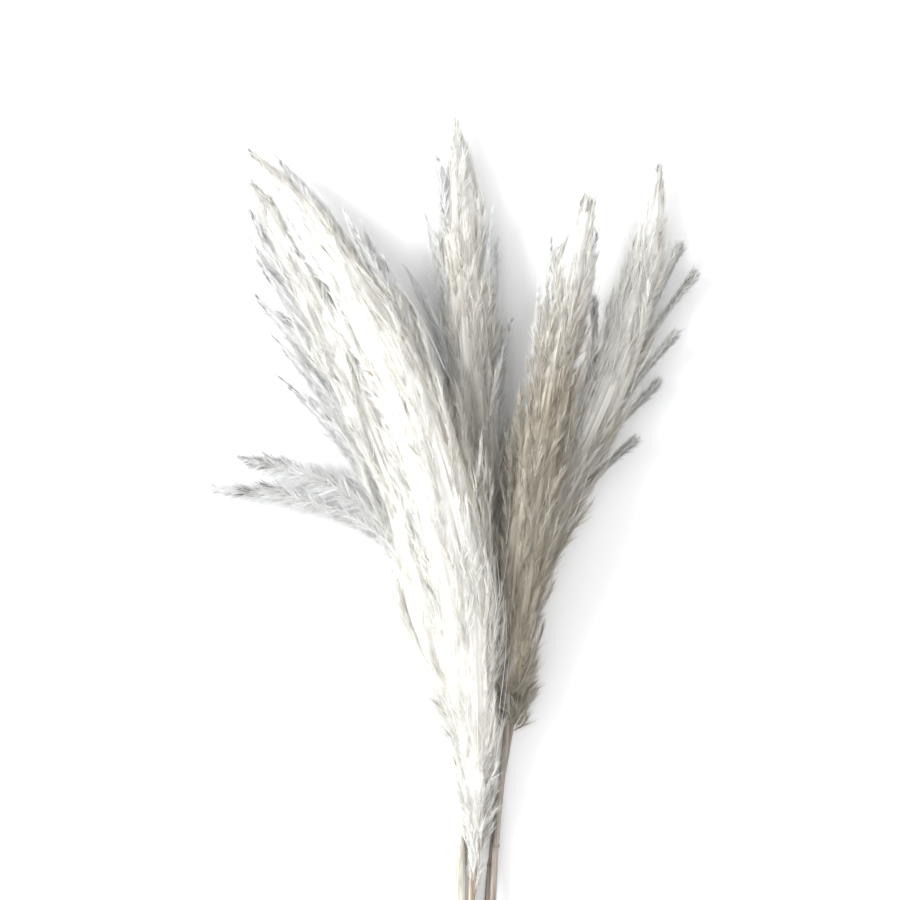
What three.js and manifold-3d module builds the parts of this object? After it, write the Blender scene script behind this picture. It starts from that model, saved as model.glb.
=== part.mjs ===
// A bundle of five cut and dried pampas plumes, lying loose on a flat surface.
// Millimetres. +Y runs from the cut ends of the stalks to the plume tips, and +Z is up.
// Each plume is a stalk, the soft head that it carries, and the side tassels that stand clear
// of the head. A stalk runs on inside its head and thins to a fine tip.

import * as THREE from "three";
import { mergeVertices } from "three/addons/utils/BufferGeometryUtils.js";
import Module from "manifold-3d";

const wasm = await Module();
wasm.setup();

// Driving sizes.
const clearance = 0.35; // gap between pieces that touch
const waistY = 210; // from the cut ends to where the stalks come together
const stalkGap = 1.2; // between the cut ends, side by side on the surface
const stalkTipDiameter = 1.4; // where a stalk ends inside its head
const stalkEndsAt = 0.86; // share of the head's length that the stalk runs through
const stalkCentredAt = [0, 0.12, 0.26, 0.42, 0.6, 0.75, stalkEndsAt]; // shares of the head's length
const nodeRingSwell = 0.35; // how far a joint of the stalk stands out
const nodeRingWidth = 5;
const nodeRingBelowHead = 60; // from the head's foot down to the stalk's last joint
const widthScale = 1; // of every head
const heightScale = 1; // of every head
const restShare = 0.8; // of a head's half height, from the surface to its middle: it lies pressed flat
const headEndShare = 0.015; // share of a head's length in the point at each end
const footPower = 3; // how soon a head's middle settles from its foot's height to its own
const tipPower = 4; // how late a head's tip lifts
const tasselWidth = 9;
const tasselTipWidth = 1.2;
const tasselRootShare = 0.5; // how far out in the head a tassel leaves it
const tasselBendAt = 0.55; // share of its run at which a tassel turns outwards
const tasselRootSwell = 0.12; // how far its swelling has come at a tassel's root
const tasselTaper = 0.7; // the smaller, the blunter a tassel's tip
const tasselFlatness = 0.8; // height over width
const tasselPoint = 1; // length of the point at each tip

// How finely the solids are faceted.
const headSides = 12;
const headStations = 14;
const stalkSides = 8;
const stalkStations = 24;
const tasselSides = 6;
const tasselStations = 7;
const pathStep = 0.01; // share of a path over which its direction is taken
const weldDistance = 1e-4;

// A tassel: its side (-1 left, 1 right), the share of the head's length that its tip reaches,
// how far the tip stands clear of the head, its run along the head, how far the tip rises or
// drops, and its width.
function tassel(side, tipAt, reach, run, rise, width = tasselWidth) {
  return { side, tipAt, reach, run, rise, width };
}

// The plumes, from the top of the pile down. A plume above another keeps its whole shape.
// neckX and neckAbove place the head's foot from the waist's middle. lean is how far the tip
// leans sideways, bow how late it does so (1 is a straight lean), and sway how far the head
// swings to the left and back on its way.
const plumes = [
  {
    name: "left_front",
    stalkDiameter: 4.2,
    neckX: -1,
    neckAbove: 14,
    length: 361,
    lean: -114,
    bow: 3,
    sway: 0,
    halfWidth: 24,
    halfHeight: 17,
    fullestAt: 0.58,
    footTaper: 0.85,
    tipTaper: 0.9,
    liesOn: "left_back",
    tipHeight: 12,
    tassels: [
      tassel(1, 0.977, 5.5, 44, 2),
      tassel(-1, 0.96, 1, 48, -4),
      tassel(1, 0.883, 5, 60, 4),
      tassel(1, 0.861, 7, 62, -4),
      tassel(1, 0.815, 3, 64, 2),
    ],
  },
  {
    name: "right_centre",
    stalkDiameter: 3.6,
    neckX: 15,
    neckAbove: 92,
    length: 259,
    lean: 40,
    bow: 1.4,
    sway: 0,
    halfWidth: 17,
    halfHeight: 14,
    fullestAt: 0.38,
    footTaper: 0.6,
    tipTaper: 0.65,
    liesOn: "right",
    tipHeight: 10,
    tassels: [
      tassel(1, 0.941, 3.5, 44, 2),
      tassel(1, 0.895, 3, 50, -3),
      tassel(-1, 0.899, 6.5, 50, 2),
      tassel(-1, 0.811, 5, 54, -2),
    ],
  },
  {
    name: "left_back",
    stalkDiameter: 5.4,
    neckX: -9,
    neckAbove: 67,
    length: 291,
    lean: -104.5,
    bow: 1.6,
    sway: 0,
    halfWidth: 19,
    halfHeight: 15,
    fullestAt: 0.6,
    footTaper: 0.42,
    tipTaper: 0.5,
    liesOn: null,
    tipHeight: 7,
    tassels: [
      tassel(-1, 0.968, 1, 48, 3),
      tassel(-1, 0.934, 5.5, 56, -2),
      tassel(-1, 0.899, 5, 60, 3),
      tassel(-1, 0.861, 13.5, 80, -3, 12),
      tassel(-1, 0.778, 10.5, 84, 2, 13),
      tassel(-1, 0.718, 15.5, 88, -4, 13),
      tassel(-1, 0.619, 48, 70, -4, 13),
      tassel(-1, 0.59, 67, 72, -9, 13),
    ],
  },
  {
    name: "centre",
    stalkDiameter: 3.6,
    neckX: 6,
    neckAbove: 100,
    length: 291,
    lean: -17.5,
    bow: 1,
    sway: 0,
    halfWidth: 20,
    halfHeight: 16,
    fullestAt: 0.48,
    footTaper: 0.7,
    tipTaper: 0.6,
    liesOn: null,
    tipHeight: 6,
    tassels: [
      tassel(-1, 0.947, 4.5, 46, 2),
      tassel(1, 0.831, 2, 56, 3),
      tassel(-1, 0.837, 5, 58, -2),
      tassel(1, 0.787, 3, 60, -3),
      tassel(-1, 0.748, 13, 64, 2),
      tassel(1, 0.646, 3, 62, 0),
    ],
  },
  {
    name: "right",
    stalkDiameter: 2.9,
    neckX: 20,
    neckAbove: 105,
    length: 261,
    lean: 71,
    bow: 1,
    sway: 7,
    halfWidth: 17,
    halfHeight: 14,
    fullestAt: 0.55,
    footTaper: 1,
    tipTaper: 0.75,
    liesOn: null,
    tipHeight: 6,
    tassels: [
      tassel(1, 0.861, 2, 44, 2),
      tassel(1, 0.817, 10, 56, -2),
      tassel(-1, 0.73, 4, 52, 2),
      tassel(1, 0.705, 4.5, 58, 2),
      tassel(1, 0.618, 3.5, 60, -3),
      tassel(-1, 0.591, 5, 56, 0),
      tassel(1, 0.51, 3.5, 62, 2),
    ],
  },
];

// Where the stalks pass the waist: the gap to the stalk on the left, and whether a stalk rides on
// another one there.
const waistLeftEdge = -12.2;
const waistOrder = [
  { name: "left_back", gap: 0, over: "centre" },
  { name: "left_front", gap: 0.6, over: "centre" },
  { name: "right", gap: 5, over: null },
  { name: "right_centre", gap: -0.4, over: "right" },
];
const hiddenAtWaist = { name: "centre", under: "left_back" };
const cutEndOrder = ["left_back", "centre", "left_front", "right", "right_centre"];

const headColours = {
  left_front: 0xf7f3e8,
  right_centre: 0xf0ece0,
  left_back: 0xf4f1e6,
  centre: 0xf3efe4,
  right: 0xede9dd,
};
const stalkColour = 0xe9dcb8;
const tasselColour = 0xf2eee2;
const stalkRoughness = 0.5;
const plumeRoughness = 0.85;

const plumeNamed = Object.fromEntries(plumes.map((plume) => [plume.name, plume]));

// Share of a head's full size at t, from 0 at its foot to 1 at its tip.
function swell(plume, t) {
  if (t < plume.fullestAt) {
    return Math.sin((Math.PI / 2) * (t / plume.fullestAt)) ** plume.footTaper;
  }
  const past = (t - plume.fullestAt) / (1 - plume.fullestAt);
  return Math.max(Math.cos((Math.PI / 2) * past), 0) ** plume.tipTaper;
}

function headHalfWidth(plume, t) {
  return widthScale * plume.halfWidth * swell(plume, t);
}

function headHalfHeight(plume, t) {
  return heightScale * plume.halfHeight * swell(plume, t);
}

// A stalk's radius, with a small ring at its last joint. along is the distance past the head's foot.
function stalkRadius(plume, along) {
  const radius = plume.stalkDiameter / 2;
  if (along > 0) {
    const share = along / (stalkEndsAt * plume.length);
    return THREE.MathUtils.lerp(radius, stalkTipDiameter / 2, Math.min(share, 1));
  }
  const fromRing = (along + nodeRingBelowHead) / nodeRingWidth;
  return radius + nodeRingSwell * Math.exp(-fromRing * fromRing);
}

// Height of the stalk at a head's foot: on the surface, or on the stalk that it rides over.
function levelHeight(plume, lower) {
  const own = plume.stalkDiameter / 2 + nodeRingSwell;
  if (!lower) {
    return own;
  }
  return own + lower.stalkDiameter + 2 * nodeRingSwell + clearance;
}

// Top of the head that a plume lies on, at the same distance from the cut ends.
function pileHeight(plume, y) {
  if (!plume.liesOn) {
    return 0;
  }
  const lower = plumeNamed[plume.liesOn];
  const t = THREE.MathUtils.clamp((y - waistY - lower.neckAbove) / lower.length, 0, 1);
  return 2 * restShare * headHalfHeight(lower, t);
}

// The middle line of a head.
function headPoint(plume, t) {
  const lower = plume.liesOn ? plumeNamed[plume.liesOn] : null;
  const foot = levelHeight(plume, lower) * (1 - t) ** footPower;
  const own = restShare * headHalfHeight(plume, t);
  const y = waistY + plume.neckAbove + plume.length * t;
  return new THREE.Vector3(
    plume.neckX + plume.lean * t ** plume.bow - plume.sway * Math.sin(2 * Math.PI * t),
    y,
    foot + pileHeight(plume, y) + own + plume.tipHeight * t ** tipPower,
  );
}

// Unit vectors at a point of a path: along it, across it in plan, and up from it.
function pathFrame(ahead, behind) {
  const along = ahead.clone().sub(behind).normalize();
  const across = new THREE.Vector3(along.y, -along.x, 0).normalize();
  const up = new THREE.Vector3().crossVectors(across, along);
  return { along, across, up };
}

function headFrame(plume, t) {
  const ahead = headPoint(plume, Math.min(t + pathStep, 1));
  const behind = headPoint(plume, Math.max(t - pathStep, 0));
  return pathFrame(ahead, behind);
}

// A closed loft: an oval ring round each station, and one point at each end. grow makes it
// larger all round, for cutting a neighbour, and lowest stops it at the surface.
function loft(stations, sides, grow = 0, lowest = -Infinity) {
  const positions = [];
  const index = [];
  const addPoint = (point) => {
    positions.push(point.x, point.y, Math.max(point.z, lowest));
  };
  const first = stations[0];
  const last = stations[stations.length - 1];
  addPoint(first.centre.clone().addScaledVector(first.frame.along, -grow));
  for (const { centre, frame, halfWidth, halfHeight } of stations) {
    for (let side = 0; side < sides; side += 1) {
      const angle = (2 * Math.PI * (side + 0.5)) / sides;
      addPoint(
        centre
          .clone()
          .addScaledVector(frame.across, (halfWidth + grow) * Math.cos(angle))
          .addScaledVector(frame.up, (halfHeight + grow) * Math.sin(angle)),
      );
    }
  }
  addPoint(last.centre.clone().addScaledVector(last.frame.along, last.point + grow));
  const end = stations.length * sides + 1;
  for (let side = 0; side < sides; side += 1) {
    const next = (side + 1) % sides;
    index.push(0, 1 + side, 1 + next);
    for (let ring = 0; ring < stations.length - 1; ring += 1) {
      const low = 1 + ring * sides;
      const high = low + sides;
      index.push(low + side, high + side, high + next);
      index.push(low + side, high + next, low + next);
    }
    index.push(end, end - sides + next, end - sides + side);
  }
  const geometry = new THREE.BufferGeometry();
  geometry.setAttribute("position", new THREE.Float32BufferAttribute(positions, 3));
  geometry.setIndex(index);
  return solidOf(geometry);
}

function solidOf(geometry) {
  const merged = mergeVertices(geometry, weldDistance);
  return new wasm.Manifold(
    new wasm.Mesh({
      numProp: 3,
      vertProperties: merged.attributes.position.array,
      triVerts: new Uint32Array(merged.index.array),
    }),
  );
}

function geometryOf(solid) {
  const mesh = solid.getMesh();
  const geometry = new THREE.BufferGeometry();
  const positions = new THREE.Float32BufferAttribute(mesh.vertProperties, mesh.numProp);
  geometry.setAttribute("position", positions);
  geometry.setIndex(new THREE.BufferAttribute(mesh.triVerts, 1));
  geometry.computeVertexNormals();
  return geometry;
}

// The largest body of a solid that its neighbours have cut.
function mainBody(solid) {
  const bodies = solid.decompose();
  return bodies.reduce((best, body) => (body.volume() > best.volume() ? body : best));
}

// Heads.
function headStationsOf(plume) {
  const stations = [];
  for (let i = 0; i < headStations; i += 1) {
    const t = THREE.MathUtils.lerp(headEndShare, 1 - headEndShare, i / (headStations - 1));
    stations.push({
      centre: headPoint(plume, t),
      frame: headFrame(plume, t),
      halfWidth: headHalfWidth(plume, t),
      halfHeight: headHalfHeight(plume, t),
      point: headEndShare * plume.length,
    });
  }
  return stations;
}

// Stalks.
function waistPoints() {
  const points = {};
  let edge = waistLeftEdge;
  for (const { name, gap, over } of waistOrder) {
    const plume = plumeNamed[name];
    const radius = plume.stalkDiameter / 2;
    const lower = over ? plumeNamed[over] : null;
    const x = edge + gap + radius;
    points[name] = new THREE.Vector3(x, waistY, levelHeight(plume, lower));
    edge = x + radius;
  }
  const { name, under } = hiddenAtWaist;
  const hidden = plumeNamed[name];
  points[name] = new THREE.Vector3(points[under].x, waistY, levelHeight(hidden, null));
  return points;
}

function cutEnds() {
  const ends = {};
  const widths = cutEndOrder.map((name) => plumeNamed[name].stalkDiameter);
  const total = widths.reduce((sum, width) => sum + width + stalkGap, -stalkGap);
  let edge = -total / 2;
  cutEndOrder.forEach((name, i) => {
    ends[name] = new THREE.Vector3(edge + widths[i] / 2, 0, widths[i] / 2);
    edge += widths[i] + stalkGap;
  });
  return ends;
}

function stalkStationsOf(plume, cutEnd, waist) {
  const inside = stalkCentredAt.map((t) => headPoint(plume, t));
  const path = new THREE.CatmullRomCurve3([cutEnd, waist, ...inside], false, "centripetal");
  const footY = inside[0].y;
  const stations = [];
  for (let i = 0; i < stalkStations; i += 1) {
    const share = i / (stalkStations - 1);
    const centre = path.getPointAt(share);
    const ahead = path.getPointAt(Math.min(share + pathStep, 1));
    const behind = path.getPointAt(Math.max(share - pathStep, 0));
    const radius = stalkRadius(plume, centre.y - footY);
    const frame = pathFrame(ahead, behind);
    stations.push({ centre, frame, halfWidth: radius, halfHeight: radius, point: 0 });
  }
  return stations;
}

// Tassels.
function tasselStationsOf(plume, branch) {
  const rootAt = branch.tipAt - branch.run / plume.length;
  const rootFrame = headFrame(plume, rootAt);
  const tipFrame = headFrame(plume, branch.tipAt);
  const root = headPoint(plume, rootAt).addScaledVector(
    rootFrame.across,
    branch.side * tasselRootShare * headHalfWidth(plume, rootAt),
  );
  const tip = headPoint(plume, branch.tipAt).addScaledVector(
    tipFrame.across,
    branch.side * (headHalfWidth(plume, branch.tipAt) + branch.reach),
  );
  tip.z = Math.max(tip.z + branch.rise, tasselTipWidth);
  const bend = root.clone().addScaledVector(rootFrame.along, tasselBendAt * branch.run);
  bend.z = (root.z + tip.z) / 2;
  const path = new THREE.QuadraticBezierCurve3(root, bend, tip);
  const stations = [];
  for (let i = 0; i < tasselStations; i += 1) {
    const share = i / (tasselStations - 1);
    const swelling = THREE.MathUtils.lerp(tasselRootSwell, 1, share);
    const body = Math.sin(Math.PI * swelling) ** tasselTaper;
    const radius = Math.max((branch.width / 2) * body, tasselTipWidth / 2);
    const centre = path.getPoint(share);
    const ahead = path.getPoint(Math.min(share + pathStep, 1));
    const behind = path.getPoint(Math.max(share - pathStep, 0));
    const frame = pathFrame(ahead, behind);
    stations.push({
      centre,
      frame,
      halfWidth: radius,
      halfHeight: tasselFlatness * radius,
      point: tasselPoint,
    });
  }
  return stations;
}

// The pieces, in the order in which they keep their shape: stalks, then each plume's tassels and
// head from the top of the pile down. A later piece is cut to clear the earlier ones.
const pieces = [];
const waist = waistPoints();
const cut = cutEnds();
for (const plume of plumes) {
  pieces.push({
    name: plume.name + "_stalk",
    stations: stalkStationsOf(plume, cut[plume.name], waist[plume.name]),
    sides: stalkSides,
    colour: stalkColour,
    roughness: stalkRoughness,
  });
}
for (const plume of plumes) {
  plume.tassels.forEach((branch, i) => {
    pieces.push({
      name: plume.name + "_tassel_" + (i + 1),
      stations: tasselStationsOf(plume, branch),
      sides: tasselSides,
      colour: tasselColour,
      roughness: plumeRoughness,
    });
  });
  pieces.push({
    name: plume.name + "_head",
    stations: headStationsOf(plume),
    sides: headSides,
    colour: headColours[plume.name],
    roughness: plumeRoughness,
  });
}

const bundle = new THREE.Group();
const cutters = [];
for (const { name, stations, sides, colour, roughness } of pieces) {
  let solid = loft(stations, sides, 0, 0);
  for (const cutter of cutters) {
    solid = solid.subtract(cutter);
  }
  cutters.push(loft(stations, sides, clearance));
  const material = new THREE.MeshStandardMaterial({ color: colour, roughness, metalness: 0 });
  const mesh = new THREE.Mesh(geometryOf(mainBody(solid)), material);
  mesh.name = name;
  bundle.add(mesh);
}

// The origin is under the middle of the bundle, on the surface that it lies on.
const extent = new THREE.Box3().setFromObject(bundle);
const middle = extent.getCenter(new THREE.Vector3());
bundle.position.set(-middle.x, -middle.y, -extent.min.z);
const placed = new THREE.Group();
placed.add(bundle);

export default placed;
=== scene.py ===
import bpy
import math
import numpy as np
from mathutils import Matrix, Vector, noise


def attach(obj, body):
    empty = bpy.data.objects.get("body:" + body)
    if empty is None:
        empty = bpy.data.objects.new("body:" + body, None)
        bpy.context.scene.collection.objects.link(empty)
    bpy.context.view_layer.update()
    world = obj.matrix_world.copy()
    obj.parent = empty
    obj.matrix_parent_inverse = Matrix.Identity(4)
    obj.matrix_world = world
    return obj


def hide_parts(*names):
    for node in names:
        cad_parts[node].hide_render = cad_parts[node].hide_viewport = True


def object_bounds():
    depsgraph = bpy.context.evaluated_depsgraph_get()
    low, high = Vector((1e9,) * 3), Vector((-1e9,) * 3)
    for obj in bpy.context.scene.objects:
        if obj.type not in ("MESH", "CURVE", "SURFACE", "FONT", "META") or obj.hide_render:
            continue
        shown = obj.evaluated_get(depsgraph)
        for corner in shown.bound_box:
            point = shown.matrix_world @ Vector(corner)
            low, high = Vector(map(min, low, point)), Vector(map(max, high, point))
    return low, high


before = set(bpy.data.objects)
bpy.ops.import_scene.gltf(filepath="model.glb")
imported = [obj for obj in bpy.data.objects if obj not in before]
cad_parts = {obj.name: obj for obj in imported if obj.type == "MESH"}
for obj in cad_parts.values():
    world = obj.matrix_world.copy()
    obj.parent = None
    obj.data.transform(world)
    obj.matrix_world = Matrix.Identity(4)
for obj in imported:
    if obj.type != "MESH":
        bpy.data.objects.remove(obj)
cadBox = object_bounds()

plumeNames = ["left_front", "right_centre", "left_back", "centre", "right"]
goldenAngle = math.pi * (3 - math.sqrt(5))

view = {
    "frameWidth": 0.45,      # metres across at the bundle's mid height
    "aboveTips": 0.059,      # pale floor shown past the highest tip
    "aside": -0.0004,        # from the middle of the bundle
    "distance": 1.9,         # above the bundle's mid height
    "sensor": 36.0,
}
studio = {
    "floor": (0.95, 0.95, 0.95),
    "floorReach": 4.0,
    "floorRoughness": 0.9,
    "floorSpecular": 0.1,
    "keyPlace": (-1.45, 0.55, 1.0),
    "keyTarget": (0.0, 0.1, 0.03),
    "keyTint": (1.0, 1.0, 1.0),
    "keySize": 0.8,
    "keyPower": 37.0,
    "sky": (0.985, 0.99, 1.0),
    "skyStrength": 1.15,
}


def addObject(name, data):
    thing = bpy.data.objects.new(name, data)
    bpy.context.scene.collection.objects.link(thing)
    return thing


def newMaterial(name, specular):
    material = bpy.data.materials.new(name)
    material.use_nodes = True
    shader = material.node_tree.nodes["Principled BSDF"]
    shader.inputs["Specular IOR Level"].default_value = specular
    return material, shader


def addCamera():
    low, high = cadBox
    midHeight = (low[2] + high[2]) / 2
    centreX = (low[0] + high[0]) / 2 + view["aside"]
    centreY = high[1] + view["aboveTips"] - view["frameWidth"] / 2
    camera = addObject("camera", bpy.data.cameras.new("camera"))
    camera.data.sensor_width = view["sensor"]
    camera.data.lens = view["sensor"] * view["distance"] / view["frameWidth"]
    camera.data.clip_end = 20.0
    camera.location = (centreX, centreY, midHeight + view["distance"])
    bpy.context.scene.camera = camera


def addKeyLight():
    light = bpy.data.lights.new("key", "AREA")
    light.shape = "SQUARE"
    light.size = studio["keySize"]
    light.energy = studio["keyPower"]
    light.color = studio["keyTint"]
    lamp = addObject("key", light)
    lamp.location = studio["keyPlace"]
    aim = Vector(studio["keyTarget"]) - Vector(studio["keyPlace"])
    lamp.rotation_euler = aim.to_track_quat("-Z", "Y").to_euler()


def addFloor():
    floorMesh = bpy.data.meshes.new("floor")
    reach = studio["floorReach"]
    corners = [(-reach, -reach, 0), (reach, -reach, 0), (reach, reach, 0), (-reach, reach, 0)]
    floorMesh.from_pydata(corners, [], [(0, 1, 2, 3)])
    floor = addObject("floor", floorMesh)
    material, shader = newMaterial("paleFloor", studio["floorSpecular"])
    shader.inputs["Base Color"].default_value = (*studio["floor"], 1.0)
    shader.inputs["Roughness"].default_value = studio["floorRoughness"]
    floorMesh.materials.append(material)


def addSky():
    world = bpy.data.worlds.new("studio")
    bpy.context.scene.world = world
    world.use_nodes = True
    sky = world.node_tree.nodes["Background"]
    sky.inputs["Color"].default_value = (*studio["sky"], 1.0)
    sky.inputs["Strength"].default_value = studio["skyStrength"]
    bpy.context.scene.view_settings.view_transform = "Standard"


addCamera()
addFloor()
addKeyLight()
addSky()
print("camera and studio ready")


def nodeTriangles(name):
    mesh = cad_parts[name].data
    points = np.empty(len(mesh.vertices) * 3, np.float32)
    mesh.vertices.foreach_get("co", points)
    mesh.calc_loop_triangles()
    index = np.empty(len(mesh.loop_triangles) * 3, np.int32)
    mesh.loop_triangles.foreach_get("vertices", index)
    return points.reshape(-1, 3)[index].reshape(-1, 3, 3).astype(np.float64)


def crossSection(triangles, origin, normal):  # where a plane meets a node's skin
    heights = (triangles - np.array(origin)) @ np.array(normal)
    found = []
    for a, b in ((0, 1), (1, 2), (2, 0)):
        crossed = (heights[:, a] > 0) != (heights[:, b] > 0)
        start, end = triangles[crossed, a], triangles[crossed, b]
        share = heights[crossed, a] / (heights[crossed, a] - heights[crossed, b])
        found.append(start + (end - start) * share[:, None])
    return np.vstack(found)


def middleOf(points):
    return (points.min(axis=0) + points.max(axis=0)) / 2


def resample(points, count):
    points = np.array(points)
    steps = np.linalg.norm(np.diff(points, axis=0), axis=1)
    along = np.concatenate([[0.0], np.cumsum(steps)])
    wanted = np.linspace(0.0, along[-1], count)
    return np.stack([np.interp(wanted, along, points[:, k]) for k in range(3)], axis=1)


def smoothed(values, passes):
    values = np.array(values, float)
    for _ in range(passes):
        values[1:-1] = (values[:-2] + 2 * values[1:-1] + values[2:]) / 4
    return values


def frameVectors(points):
    along = np.gradient(np.array(points), axis=0)
    along /= np.linalg.norm(along, axis=1)[:, None]
    across = np.stack([along[:, 1], -along[:, 0], np.zeros(len(along))], axis=1)
    across /= np.linalg.norm(across, axis=1)[:, None]
    return along, across, np.cross(across, along)


# how a tip of a given width ends, and where a head bulges to its left
skinShape = {
    "tipEnd": 0.3,           # of the tip's width, left at the very end
    "tipRun": 0.15,          # of the axis, over which the tip narrows
    "tipDepth": 0.8,         # of its width
    "bulgeAt": 0.24,         # of the axis
    "bulgeRun": 0.09,
}


class Axis:  # a middle line with the half sizes of what surrounds it
    def __init__(self, points, triangles):
        self.points = np.array(points)
        self.count = len(points)
        self.along, self.across, self.up = frameVectors(points)
        sizes = []
        for i in range(self.count):
            section = crossSection(triangles, self.points[i], self.along[i])
            if len(section) == 0:
                sizes.append((0.0, 0.0, 0.0))
                continue
            offset = section - self.points[i]
            wide = np.abs(offset @ self.across[i]).max()
            high = offset @ self.up[i]
            sizes.append((wide, max(high.max(), 0.0), max(-high.min(), 0.0)))
        self.sizes = smoothed(sizes, 3)
        self.length = float(np.linalg.norm(np.diff(self.points, axis=0), axis=1).sum())
        self.tipWidth = 0.0
        self.bulge = 0.0

    def at(self, t):
        place = min(max(t, 0.0), 1.0) * (self.count - 1)
        i = min(int(place), self.count - 2)
        share = place - i
        rows = (self.points, self.along, self.across, self.up, self.sizes)
        return [row[i] * (1 - share) + row[i + 1] * share for row in rows]

    def around(self, t, angle, out):  # a point at a share of the way out to the skin
        centre, along, across, up, sizes = self.at(t)
        centre = centre + along * (t - min(max(t, 0.0), 1.0)) * self.length
        beforeTip = min(max(1.0 - t, 0.0) / skinShape["tipRun"], 1.0)
        least = self.tipWidth * (skinShape["tipEnd"] + (1 - skinShape["tipEnd"]) * beforeTip)
        wide = max(sizes[0], least)
        if math.cos(angle) < 0:
            fromBulge = (t - skinShape["bulgeAt"]) / skinShape["bulgeRun"]
            wide += self.bulge * math.exp(-fromBulge**2)
        high = max(sizes[1] if math.sin(angle) > 0 else sizes[2], skinShape["tipDepth"] * least)
        return centre + out * (across * wide * math.cos(angle) + up * high * math.sin(angle))


def headAxis(name, stations=64):
    # up the middle of the stalk, then on a bend from the stalk's end to the head's tip
    head = nodeTriangles(name + "_head")
    stalk = nodeTriangles(name + "_stalk")
    corners = head.reshape(-1, 3)
    tip = corners[corners[:, 1].argmax()]
    footY = corners[:, 1].min()
    stalkTop = stalk.reshape(-1, 3)[:, 1].max()
    points = []
    for y in np.linspace(footY + 0.001, stalkTop - 0.001, stations):
        section = crossSection(stalk, (0, y, 0), (0, 1, 0))
        if len(section):
            points.append(middleOf(section))
    last = points[-1]
    slope = last - points[-4]
    slope /= np.linalg.norm(slope)
    reach = np.linalg.norm(tip - last)
    bend = last + slope * reach * 0.45
    for share in np.linspace(0.1, 1.0, 10):
        points.append((1 - share) ** 2 * last + 2 * share * (1 - share) * bend + share**2 * tip)
    return Axis(resample(smoothed(points, 4), stations), head)


def tasselAxis(name, stations=20):
    # from its root, the lowest corner, each step follows the middle of the next cross-section
    tassel = nodeTriangles(name)
    corners = tassel.reshape(-1, 3)
    root = corners[corners[:, 1].argmin()]
    tip = corners[np.linalg.norm(corners - root, axis=1).argmax()]
    root = corners[np.linalg.norm(corners - tip, axis=1).argmax()]
    length = np.linalg.norm(tip - root)
    chord = (tip - root) / length
    points = []
    for share in np.linspace(0.05, 0.96, stations):
        section = crossSection(tassel, root + chord * length * share, chord)
        if len(section):
            points.append(middleOf(section))
    points.append(tip)
    return Axis(resample(smoothed(points, 2), stations), tassel)


axes = {name: headAxis(name) for name in plumeNames}
tasselNodes = sorted(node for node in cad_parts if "_tassel_" in node)
for name in plumeNames:
    print(name, "axis of", round(axes[name].length * 1000), "mm")


class TreeMaker:  # short hands for building a node tree
    def __init__(self, name, kind):
        self.tree = bpy.data.node_groups.new(name, kind)

    def socket(self, name, kind, way="INPUT", value=None, low=None):
        item = self.tree.interface.new_socket(name, in_out=way, socket_type=kind)
        if value is not None:
            item.default_value = value
        if low is not None:
            item.min_value = low

    def add(self, kind, inputs=None, **settings):
        node = self.tree.nodes.new(kind)
        for key, value in settings.items():
            setattr(node, key, value)
        for key, value in (inputs or {}).items():
            if isinstance(value, bpy.types.NodeSocket):
                self.tree.links.new(value, node.inputs[key])
            else:
                node.inputs[key].default_value = value
        return node

    def math(self, operation, first, second=0.0):
        return self.add("ShaderNodeMath", {0: first, 1: second}, operation=operation).outputs[0]

    def vector(self, operation, first, second):
        inputs = {0: first, 1: second}
        return self.add("ShaderNodeVectorMath", inputs, operation=operation).outputs[0]

    def scaled(self, vector, amount):
        inputs = {0: vector, "Scale": amount}
        return self.add("ShaderNodeVectorMath", inputs, operation="SCALE").outputs[0]

    def mix(self, factor, first, second):
        inputs = {"Factor": factor, "A": first, "B": second}
        return self.add("ShaderNodeMix", inputs, data_type="FLOAT").outputs[0]

    def blend(self, factor, first, second):
        inputs = {0: factor, 6: first, 7: second}
        return self.add("ShaderNodeMix", inputs, data_type="RGBA").outputs[2]

    def step(self, value, low, high):  # smooth rise from 0 to 1 between two values
        inputs = {"Value": value, 1: low, 2: high}
        node = self.add("ShaderNodeMapRange", inputs, interpolation_type="SMOOTHSTEP")
        return node.outputs[0]

    def random(self, low, high, seed, number=None):
        inputs = {2: low, 3: high, "Seed": seed}
        if number is not None:
            inputs["ID"] = number
        return self.add("FunctionNodeRandomValue", inputs, data_type="FLOAT").outputs[1]

    def scatter(self, amount, seed):  # a random vector, each part within plus or minus 1
        inputs = {0: (-1.0, -1.0, -1.0), 1: (1.0, 1.0, 1.0), "Seed": seed}
        node = self.add("FunctionNodeRandomValue", inputs, data_type="FLOAT_VECTOR")
        return self.scaled(node.outputs[0], amount)

    def store(self, geometry, name, value, kind, domain):
        inputs = {"Geometry": geometry, "Name": name, "Value": value}
        node = self.add("GeometryNodeStoreNamedAttribute", inputs, data_type=kind, domain=domain)
        return node.outputs["Geometry"]

    def read(self, name, kind="FLOAT"):
        node = self.add("GeometryNodeInputNamedAttribute", {"Name": name}, data_type=kind)
        return node.outputs["Attribute"]


brushShape = {
    "leastLength": 0.4,              # of the strand's length, where the brush is thinnest
    "lengthening": 160.0,            # more of it for each metre of the brush's radius
    "tuftLean": (0.15, 1.0),         # of the brush's radius
    "hairLean": (0.5, 1.5),
    "tuftReach": (0.6, 1.15),        # of the strand's length
    "hairReach": (0.5, 1.1),
    "rootScatter": 0.14,             # of the brush's radius
    "thickness": (0.6, 1.3),         # of the strand's width
    "hairThickness": 0.42,
    "markThickness": 1.15,
    "tuftTone": 0.06,
    "strandTone": 0.04,
    "markTone": 0.02,
    "press": 0.22,                   # how much of what would go below the surface is turned up
    "clear": 0.0003,
}


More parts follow.
